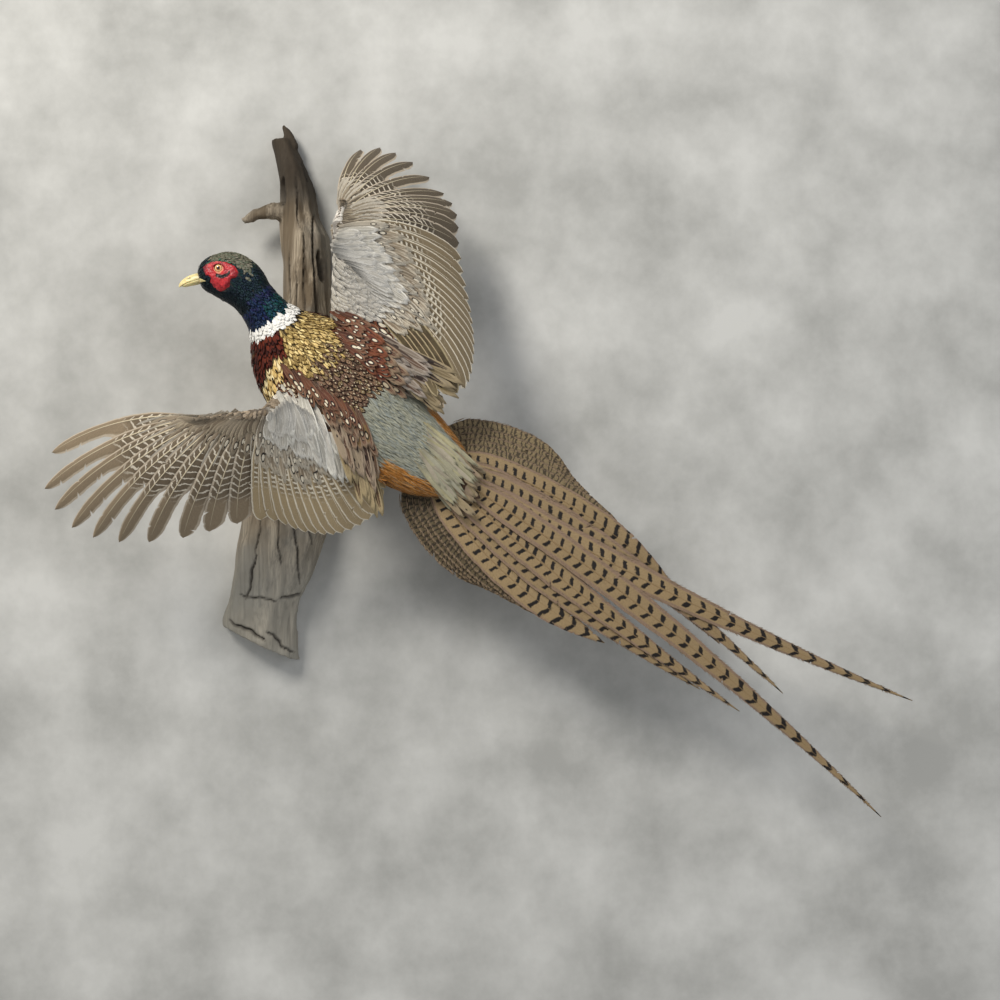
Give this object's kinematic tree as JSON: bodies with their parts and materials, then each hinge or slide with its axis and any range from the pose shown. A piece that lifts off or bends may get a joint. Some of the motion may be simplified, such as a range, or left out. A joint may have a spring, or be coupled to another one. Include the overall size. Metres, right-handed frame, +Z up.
{
  "type": "taxidermy pheasant on a driftwood wall mount",
  "caption": "Cock ring-necked pheasant mounted in flight, back to the viewer, wings spread and long barred tail trailing, on a weathered driftwood wall piece.",
  "frame": {"origin": "hanging point on the flat back of the driftwood, in the plane of the wall", "axes": "+X from the head side to the tail side, +Y into the wall, +Z up"},
  "size_m": [0.8493, 0.2102, 0.7032],
  "materials": {
    "driftwood": "weathered, grey-brown, dry",
    "head_feathers": "glossy blue-green feathers",
    "body_feathers": "satin gold, maroon and grey feathers",
    "wing_coverts": "matt grey and brown feathers",
    "flight_feathers": "satin brown feathers with buff bars",
    "tail_feathers": "satin buff feathers with black bars",
    "wattle": "matt, papillose",
    "bill": "satin horn",
    "eye": "polished",
    "leg_skin": "satin, scaled"
  },
  "bodies": {
    "root": {"driftwood": "driftwood", "head": "head_feathers", "neck": "head_feathers", "trunk": "body_feathers", "upper_bill": "bill", "lower_bill": "bill", "left_eye": "eye", "left_wattle": "wattle", "left_leg": "leg_skin", "left_foot": "leg_skin", "left_arm": "wing_coverts", "left_hand": "wing_coverts", "left_primary_1": "flight_feathers", "left_primary_2": "flight_feathers", "left_primary_3": "flight_feathers", "left_primary_4": "flight_feathers", "left_primary_5": "flight_feathers", "left_primary_6": "flight_feathers", "left_primary_7": "flight_feathers", "left_primary_8": "flight_feathers", "left_primary_9": "flight_feathers", "left_primary_10": "flight_feathers", "left_secondaries": "flight_feathers", "left_tail_feather_1": "tail_feathers", "left_tail_feather_2": "tail_feathers", "left_tail_feather_3": "tail_feathers", "left_tail_feather_4": "tail_feathers", "left_tail_feather_5": "tail_feathers", "left_tail_feather_6": "tail_feathers", "left_tail_feather_7": "tail_feathers", "left_tail_feather_8": "tail_feathers", "left_tail_feather_9": "tail_feathers", "right_eye": "eye", "right_wattle": "wattle", "right_leg": "leg_skin", "right_foot": "leg_skin", "right_arm": "wing_coverts", "right_hand": "wing_coverts", "right_primary_1": "flight_feathers", "right_primary_2": "flight_feathers", "right_primary_3": "flight_feathers", "right_primary_4": "flight_feathers", "right_primary_5": "flight_feathers", "right_primary_6": "flight_feathers", "right_primary_7": "flight_feathers", "right_primary_8": "flight_feathers", "right_primary_9": "flight_feathers", "right_primary_10": "flight_feathers", "right_secondaries": "flight_feathers", "right_tail_feather_1": "tail_feathers", "right_tail_feather_2": "tail_feathers", "right_tail_feather_3": "tail_feathers", "right_tail_feather_4": "tail_feathers", "right_tail_feather_5": "tail_feathers", "right_tail_feather_6": "tail_feathers", "right_tail_feather_7": "tail_feathers", "right_tail_feather_8": "tail_feathers", "right_tail_feather_9": "tail_feathers"}
  },
  "joints": []
}
